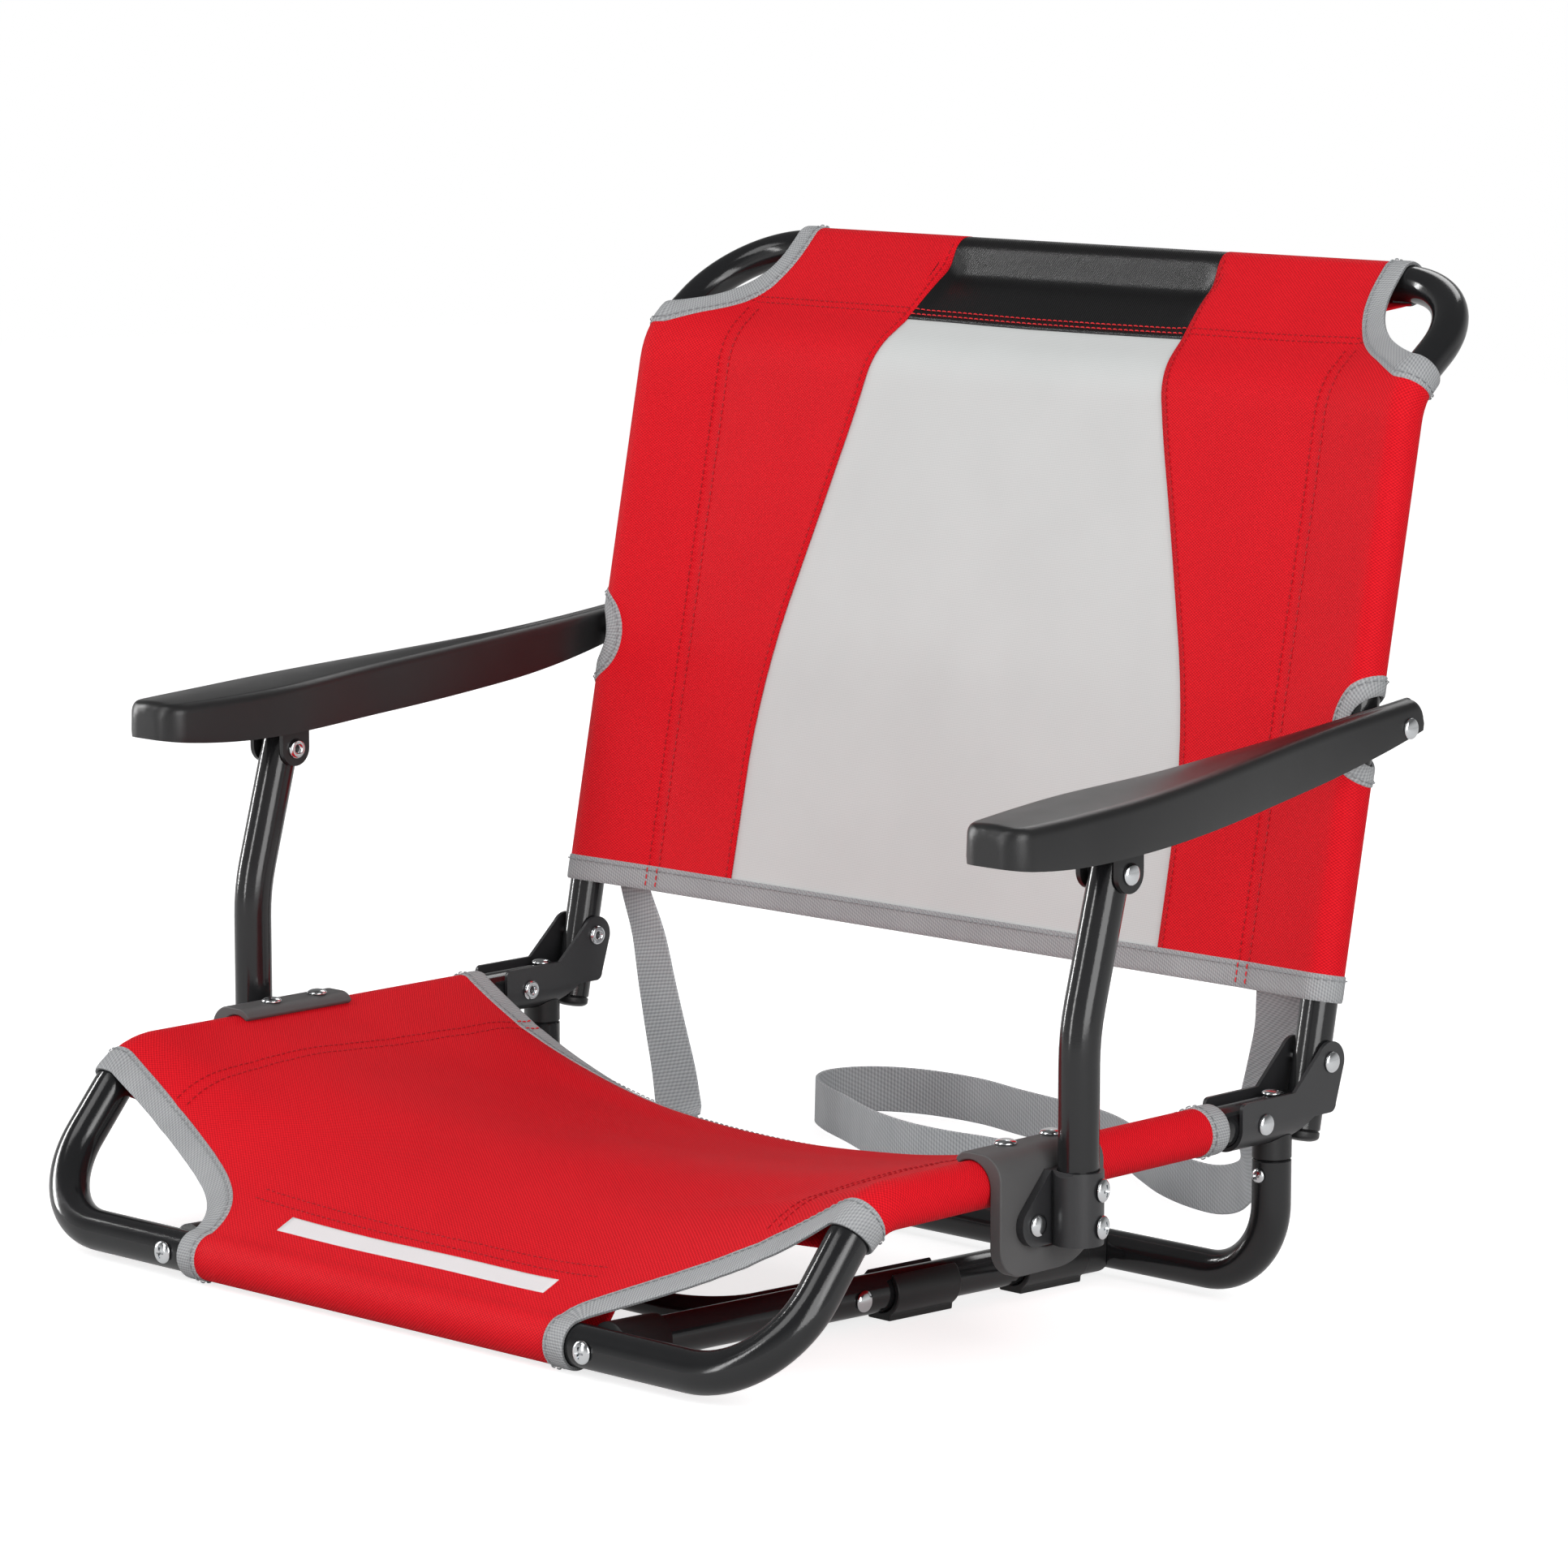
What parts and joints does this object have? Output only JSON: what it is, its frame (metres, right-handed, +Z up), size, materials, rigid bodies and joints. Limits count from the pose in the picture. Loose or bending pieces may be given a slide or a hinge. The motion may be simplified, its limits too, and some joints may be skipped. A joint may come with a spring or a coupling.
{
  "type": "folding stadium chair",
  "caption": "Low folding stadium chair: black tube frame, red sling seat, mesh back bent rearwards at the top, folding armrests, bench hook and carry strap.",
  "frame": {"origin": "on the floor, below the middle of the chair's width and depth, strap left out", "axes": "+X towards the right in the front view, +Y towards the back, +Z up"},
  "size_m": [0.604, 0.6018, 0.4939],
  "materials": {
    "black_paint": "semi-gloss black powder coat",
    "black_plastic": "satin moulded",
    "charcoal_plastic": "fine matt grain",
    "bright_zinc": "bright zinc plate",
    "red_cloth": "coated polyester weave",
    "light_mesh": "fine open mesh",
    "grey_webbing": "ribbed webbing"
  },
  "bodies": {
    "seat": {"seat_frame": "black_paint", "rear_leg_frame": "black_paint", "base_rail_right": "black_paint", "base_rail_left": "black_paint", "hinge_bracket_right": "black_paint", "hinge_bracket_left": "black_paint", "leg_plug_right": "black_plastic", "leg_plug_left": "black_plastic", "front_saddle_right": "black_plastic", "front_saddle_left": "black_plastic", "rear_saddle_right": "black_plastic", "rear_saddle_left": "black_plastic", "front_pad_right": "black_plastic", "front_pad_left": "black_plastic", "rear_pad_right": "black_plastic", "rear_pad_left": "black_plastic", "saddle_plate_right": "charcoal_plastic", "saddle_plate_left": "charcoal_plastic", "leg_screw_right": "bright_zinc", "leg_screw_left": "bright_zinc", "front_screw_right": "bright_zinc", "front_screw_left": "bright_zinc", "hook_rivet_right": "bright_zinc", "hook_rivet_left": "bright_zinc", "hinge_pivot_rivet_right": "bright_zinc", "hinge_pivot_rivet_left": "bright_zinc", "bracket_side_rivet_right": "bright_zinc", "bracket_side_rivet_left": "bright_zinc", "bracket_top_rivet_right": "bright_zinc", "bracket_top_rivet_left": "bright_zinc", "plate_rivet_front_right": "bright_zinc", "plate_rivet_front_left": "bright_zinc", "plate_rivet_rear_right": "bright_zinc", "plate_rivet_rear_left": "bright_zinc", "arm_pivot_rivet_right": "bright_zinc", "arm_pivot_rivet_left": "bright_zinc", "seat_sling": "red_cloth", "carry_strap": "grey_webbing"},
    "back": {"back_frame": "black_paint", "back_mesh_panel": "light_mesh", "back_end_cap_right": "black_plastic", "back_end_cap_left": "black_plastic", "back_side_panel_right": "red_cloth", "back_side_panel_left": "red_cloth"},
    "bench_hook": {"bench_hook": "black_paint"},
    "support_right": {"arm_support_right": "black_paint", "arm_bracket_right": "black_paint", "clamp_screw_lower_right": "bright_zinc", "clamp_screw_upper_right": "bright_zinc"},
    "arm_right": {"armrest_right": "black_plastic", "arm_lug_rivet_right": "bright_zinc", "arm_rear_rivet_right": "bright_zinc"},
    "support_left": {"arm_support_left": "black_paint", "arm_bracket_left": "black_paint", "clamp_screw_lower_left": "bright_zinc", "clamp_screw_upper_left": "bright_zinc"},
    "arm_left": {"armrest_left": "black_plastic", "arm_lug_rivet_left": "bright_zinc", "arm_rear_rivet_left": "bright_zinc"}
  },
  "joints": [
    {"name": "back_fold", "type": "hinge", "parent": "seat", "child": "back", "pos_m": [0, 0.12873, 0.11817], "axis": [1, 0, 0], "range_deg": [0, 99]},
    {"name": "hook_swing", "type": "hinge", "parent": "seat", "child": "bench_hook", "pos_m": [0, -0.07812, 0.0133], "axis": [1, 0, 0], "range_deg": [0, 100]},
    {"name": "support_fold_right", "type": "hinge", "parent": "seat", "child": "support_right", "pos_m": [0.2796, -0.09355, 0.07008], "axis": [1, 0, 0], "range_deg": [0, 99]},
    {"name": "armrest_fold_right", "type": "hinge", "parent": "back", "child": "arm_right", "pos_m": [0.2687, 0.16239, 0.27732], "axis": [1, 0, 0], "range_deg": [-99, 0]},
    {"name": "support_fold_left", "type": "hinge", "parent": "seat", "child": "support_left", "pos_m": [-0.2796, -0.09355, 0.07008], "axis": [1, 0, 0], "range_deg": [0, 99]},
    {"name": "armrest_fold_left", "type": "hinge", "parent": "back", "child": "arm_left", "pos_m": [-0.2687, 0.16239, 0.27732], "axis": [1, 0, 0], "range_deg": [-99, 0]}
  ],
  "couplings": [
    {"joint": "support_fold_right", "follows": "back_fold", "ratio": 1},
    {"joint": "armrest_fold_right", "follows": "back_fold", "ratio": -1},
    {"joint": "support_fold_left", "follows": "back_fold", "ratio": 1},
    {"joint": "armrest_fold_left", "follows": "back_fold", "ratio": -1}
  ]
}
